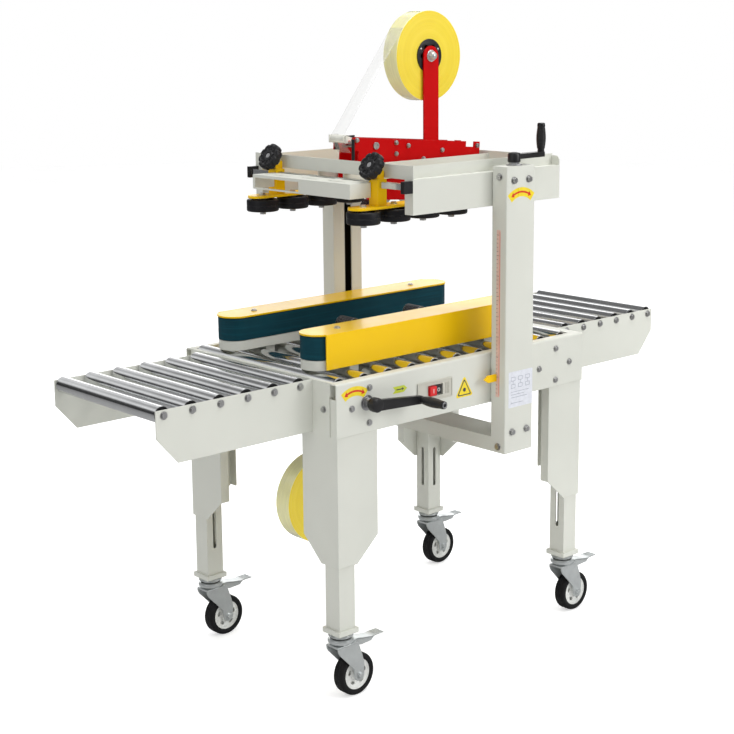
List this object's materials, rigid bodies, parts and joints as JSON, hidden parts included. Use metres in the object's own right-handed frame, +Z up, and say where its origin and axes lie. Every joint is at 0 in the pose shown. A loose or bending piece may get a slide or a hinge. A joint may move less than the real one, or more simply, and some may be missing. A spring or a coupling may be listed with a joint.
{
  "type": "carton sealer machine",
  "caption": "Semi-automatic carton sealer: roller bed with side drive belts, height-adjustable top head and tape heads above and below.",
  "frame": {"origin": "on the floor, under the middle of the machine's bounding box", "axes": "+X along the carton's travel from infeed to outfeed, +Y from the operator's side to the far side, +Z up"},
  "size_m": [1.676, 0.7472, 1.591],
  "materials": {
    "beige_paint": "textured powder coat, warm off-white",
    "yellow_paint": "smooth yellow powder coat",
    "red_paint": "smooth red powder coat",
    "roller_steel": "bright chromed steel tube",
    "zinc": "zinc-plated pressed steel",
    "screw_steel": "turned steel",
    "black_plastic": "fine-grained black plastic",
    "black_rubber": "black rubber",
    "tyre_rubber": "black rubber tyre on a white hub",
    "belt_rubber": "dark teal fabric-backed rubber belt",
    "tape_film": "clear yellowish packing tape wound on a black core",
    "switch_plastic": "red and black rocker"
  },
  "bodies": {
    "machine_frame": {"near_side_panel": "beige_paint", "far_side_panel": "beige_paint", "bed_cross_members": "beige_paint", "bed_rollers": "roller_steel", "infeed_wing_frame": "beige_paint", "infeed_rollers": "roller_steel", "outfeed_wing_frame": "beige_paint", "outfeed_rollers": "roller_steel", "leg_covers": "beige_paint", "near_column": "beige_paint", "far_column": "beige_paint", "column_cross_beam": "beige_paint", "lower_tape_frame": "red_paint", "frame_fittings": "zinc"},
    "legs": {"inner_legs": "beige_paint"},
    "caster_1": {"caster_fork_1": "zinc"},
    "wheel_1": {"caster_wheel_1": "tyre_rubber"},
    "caster_2": {"caster_fork_2": "zinc"},
    "wheel_2": {"caster_wheel_2": "tyre_rubber"},
    "caster_3": {"caster_fork_3": "zinc"},
    "wheel_3": {"caster_wheel_3": "tyre_rubber"},
    "caster_4": {"caster_fork_4": "zinc"},
    "wheel_4": {"caster_wheel_4": "tyre_rubber"},
    "height_crank": {"height_crank": "black_plastic"},
    "far_height_screw": {"far_height_screw": "screw_steel"},
    "head": {"head_frame": "beige_paint", "press_rail": "beige_paint", "upper_tape_frame": "red_paint"},
    "near_carriage": {"near_press_carriage": "yellow_paint"},
    "near_knob": {"near_clamp_knob": "black_plastic"},
    "near_press_roller_1": {"near_press_roller_1": "black_rubber"},
    "near_press_roller_2": {"near_press_roller_2": "black_rubber"},
    "near_press_roller_3": {"near_press_roller_3": "black_rubber"},
    "near_press_roller_4": {"near_press_roller_4": "black_rubber"},
    "far_carriage": {"far_press_carriage": "yellow_paint"},
    "far_knob": {"far_clamp_knob": "black_plastic"},
    "far_press_roller_1": {"far_press_roller_1": "black_rubber"},
    "far_press_roller_2": {"far_press_roller_2": "black_rubber"},
    "far_press_roller_3": {"far_press_roller_3": "black_rubber"},
    "far_press_roller_4": {"far_press_roller_4": "black_rubber"},
    "upper_tape_roll": {"upper_tape_roll": "tape_film"},
    "upper_front_arm": {"upper_front_arm": "zinc"},
    "upper_rear_arm": {"upper_rear_arm": "zinc"},
    "upper_cutter_arm": {"upper_cutter_arm": "zinc"},
    "lower_tape_roll": {"lower_tape_roll": "tape_film"},
    "lower_front_arm": {"lower_front_arm": "zinc"},
    "lower_rear_arm": {"lower_rear_arm": "zinc"},
    "lower_cutter_arm": {"lower_cutter_arm": "zinc"},
    "width_crank": {"width_crank": "black_plastic"},
    "near_belt_unit": {"near_belt_frame": "beige_paint", "near_belt_guard": "yellow_paint", "near_belt": "belt_rubber"},
    "near_drive_pulley": {"near_drive_pulley": "zinc"},
    "near_idler_pulley": {"near_idler_pulley": "zinc"},
    "far_belt_unit": {"far_belt_frame": "beige_paint", "far_belt_guard": "yellow_paint", "far_belt": "belt_rubber"},
    "far_drive_pulley": {"far_drive_pulley": "zinc"},
    "far_idler_pulley": {"far_idler_pulley": "zinc"},
    "switch_rocker": {"switch_rocker": "switch_plastic"}
  },
  "joints": [
    {"name": "leg_height", "type": "slide", "parent": "machine_frame", "child": "legs", "axis": [0, 0, 1], "range_m": [0, 0.075]},
    {"name": "caster_1_swivel", "type": "hinge", "parent": "legs", "child": "caster_1", "pos_m": [-0.378, -0.2266, 0.15], "axis": [0, 0, 1], "continuous": true},
    {"name": "wheel_1_roll", "type": "hinge", "parent": "caster_1", "child": "wheel_1", "pos_m": [-0.339, -0.2266, 0.052], "axis": [0, 1, 0], "continuous": true},
    {"name": "caster_2_swivel", "type": "hinge", "parent": "legs", "child": "caster_2", "pos_m": [-0.378, 0.2834, 0.15], "axis": [0, 0, 1], "continuous": true},
    {"name": "wheel_2_roll", "type": "hinge", "parent": "caster_2", "child": "wheel_2", "pos_m": [-0.339, 0.2834, 0.052], "axis": [0, 1, 0], "continuous": true},
    {"name": "caster_3_swivel", "type": "hinge", "parent": "legs", "child": "caster_3", "pos_m": [0.41, -0.2266, 0.15], "axis": [0, 0, 1], "continuous": true},
    {"name": "wheel_3_roll", "type": "hinge", "parent": "caster_3", "child": "wheel_3", "pos_m": [0.449, -0.2266, 0.052], "axis": [0, 1, 0], "continuous": true},
    {"name": "caster_4_swivel", "type": "hinge", "parent": "legs", "child": "caster_4", "pos_m": [0.41, 0.2834, 0.15], "axis": [0, 0, 1], "continuous": true},
    {"name": "wheel_4_roll", "type": "hinge", "parent": "caster_4", "child": "wheel_4", "pos_m": [0.449, 0.2834, 0.052], "axis": [0, 1, 0], "continuous": true},
    {"name": "height_crank_turn", "type": "hinge", "parent": "machine_frame", "child": "height_crank", "pos_m": [0.14, -0.2866, 1.223], "axis": [0, 0, 1], "range_deg": [-16201, 361]},
    {"name": "head_slide", "type": "slide", "parent": "machine_frame", "child": "head", "axis": [0, 0, 1], "range_m": [-0.225, 0.005]},
    {"name": "far_screw_turn", "type": "hinge", "parent": "machine_frame", "child": "far_height_screw", "pos_m": [0.14, 0.3434, 0.53], "axis": [0, 0, 1], "range_deg": [-16201, 361]},
    {"name": "near_carriage_slide", "type": "slide", "parent": "head", "child": "near_carriage", "axis": [0, 1, 0], "range_m": [-0.033, 0.085]},
    {"name": "near_knob_turn", "type": "hinge", "parent": "near_carriage", "child": "near_knob", "pos_m": [-0.206, -0.1586, 1.236], "axis": [-0.866, 0, 0.5], "range_deg": [-720, 720]},
    {"name": "near_press_roller_1_spin", "type": "hinge", "parent": "near_carriage", "child": "near_press_roller_1", "pos_m": [-0.233, -0.1586, 1.119], "axis": [0, 0, 1], "continuous": true},
    {"name": "near_press_roller_2_spin", "type": "hinge", "parent": "near_carriage", "child": "near_press_roller_2", "pos_m": [-0.137, -0.1586, 1.119], "axis": [0, 0, 1], "continuous": true},
    {"name": "near_press_roller_3_spin", "type": "hinge", "parent": "near_carriage", "child": "near_press_roller_3", "pos_m": [-0.041, -0.1586, 1.119], "axis": [0, 0, 1], "continuous": true},
    {"name": "near_press_roller_4_spin", "type": "hinge", "parent": "near_carriage", "child": "near_press_roller_4", "pos_m": [0.055, -0.1586, 1.119], "axis": [0, 0, 1], "continuous": true},
    {"name": "far_carriage_slide", "type": "slide", "parent": "head", "child": "far_carriage", "axis": [0, 1, 0], "range_m": [-0.085, 0.033]},
    {"name": "far_knob_turn", "type": "hinge", "parent": "far_carriage", "child": "far_knob", "pos_m": [-0.206, 0.2154, 1.236], "axis": [-0.866, 0, 0.5], "range_deg": [-720, 720]},
    {"name": "far_press_roller_1_spin", "type": "hinge", "parent": "far_carriage", "child": "far_press_roller_1", "pos_m": [-0.233, 0.2154, 1.119], "axis": [0, 0, 1], "continuous": true},
    {"name": "far_press_roller_2_spin", "type": "hinge", "parent": "far_carriage", "child": "far_press_roller_2", "pos_m": [-0.137, 0.2154, 1.119], "axis": [0, 0, 1], "continuous": true},
    {"name": "far_press_roller_3_spin", "type": "hinge", "parent": "far_carriage", "child": "far_press_roller_3", "pos_m": [-0.041, 0.2154, 1.119], "axis": [0, 0, 1], "continuous": true},
    {"name": "far_press_roller_4_spin", "type": "hinge", "parent": "far_carriage", "child": "far_press_roller_4", "pos_m": [0.055, 0.2154, 1.119], "axis": [0, 0, 1], "continuous": true},
    {"name": "upper_roll_spin", "type": "hinge", "parent": "head", "child": "upper_tape_roll", "pos_m": [0.14, 0.0284, 1.479], "axis": [0, 1, 0], "continuous": true},
    {"name": "upper_front_arm_swing", "type": "hinge", "parent": "head", "child": "upper_front_arm", "pos_m": [0.04108, 0.0284, 1.18681], "axis": [0, 1, 0], "range_deg": [0, 35], "stiffness_Nm_per_rad": 12, "springref_deg": -22.92},
    {"name": "upper_rear_arm_swing", "type": "hinge", "parent": "head", "child": "upper_rear_arm", "pos_m": [0.1308, 0.0284, 1.17975], "axis": [0, 1, 0], "range_deg": [-35.5, 0]},
    {"name": "upper_cutter_swing", "type": "hinge", "parent": "head", "child": "upper_cutter_arm", "pos_m": [0.08829, 0.0284, 1.21318], "axis": [0, 1, 0], "range_deg": [0, 15], "stiffness_Nm_per_rad": 3, "springref_deg": -17.19},
    {"name": "lower_roll_spin", "type": "hinge", "parent": "machine_frame", "child": "lower_tape_roll", "pos_m": [-0.229, 0.0284, 0.405], "axis": [0, 1, 0], "continuous": true},
    {"name": "lower_front_arm_swing", "type": "hinge", "parent": "machine_frame", "child": "lower_front_arm", "pos_m": [-0.05, 0.0284, 0.745], "axis": [0, 1, 0], "range_deg": [-35, 0], "stiffness_Nm_per_rad": 12, "springref_deg": 22.92},
    {"name": "lower_rear_arm_swing", "type": "hinge", "parent": "machine_frame", "child": "lower_rear_arm", "pos_m": [0.04, 0.0284, 0.745], "axis": [0, 1, 0], "range_deg": [0, 35.5]},
    {"name": "lower_cutter_swing", "type": "hinge", "parent": "machine_frame", "child": "lower_cutter_arm", "pos_m": [-0.005, 0.0284, 0.715], "axis": [0, 1, 0], "range_deg": [-15, 0], "stiffness_Nm_per_rad": 3, "springref_deg": 17.19},
    {"name": "width_crank_turn", "type": "hinge", "parent": "machine_frame", "child": "width_crank", "pos_m": [-0.317, -0.2576, 0.711], "axis": [0, 1, 0], "range_deg": [-5401, 3241]},
    {"name": "near_belt_slide", "type": "slide", "parent": "machine_frame", "child": "near_belt_unit", "axis": [0, 1, 0], "range_m": [-0.075, 0.045]},
    {"name": "near_drive_spin", "type": "hinge", "parent": "near_belt_unit", "child": "near_drive_pulley", "pos_m": [0.318, -0.1286, 0.829], "axis": [0, 0, 1], "continuous": true},
    {"name": "near_idler_spin", "type": "hinge", "parent": "near_belt_unit", "child": "near_idler_pulley", "pos_m": [-0.351, -0.1286, 0.829], "axis": [0, 0, 1], "continuous": true},
    {"name": "far_belt_slide", "type": "slide", "parent": "machine_frame", "child": "far_belt_unit", "axis": [0, 1, 0], "range_m": [-0.0451, 0.0751]},
    {"name": "far_drive_spin", "type": "hinge", "parent": "far_belt_unit", "child": "far_drive_pulley", "pos_m": [0.318, 0.1854, 0.829], "axis": [0, 0, 1], "continuous": true},
    {"name": "far_idler_spin", "type": "hinge", "parent": "far_belt_unit", "child": "far_idler_pulley", "pos_m": [-0.351, 0.1854, 0.829], "axis": [0, 0, 1], "continuous": true},
    {"name": "switch_rock", "type": "hinge", "parent": "machine_frame", "child": "switch_rocker", "pos_m": [-0.1, -0.2516, 0.704], "axis": [0, 0, 1], "range_deg": [0, 14]}
  ],
  "couplings": [
    {"joint": "height_crank_turn", "follows": "head_slide", "rad_per_m": 1256.6},
    {"joint": "far_screw_turn", "follows": "head_slide", "rad_per_m": 1256.6},
    {"joint": "upper_rear_arm_swing", "follows": "upper_front_arm_swing", "ratio": -1},
    {"joint": "lower_rear_arm_swing", "follows": "lower_front_arm_swing", "ratio": -1},
    {"joint": "width_crank_turn", "follows": "near_belt_slide", "rad_per_m": 1256.6},
    {"joint": "far_belt_slide", "follows": "near_belt_slide", "ratio": -1},
    {"joint": "near_idler_spin", "follows": "near_drive_spin", "ratio": 1},
    {"joint": "far_idler_spin", "follows": "far_drive_spin", "ratio": 1}
  ]
}
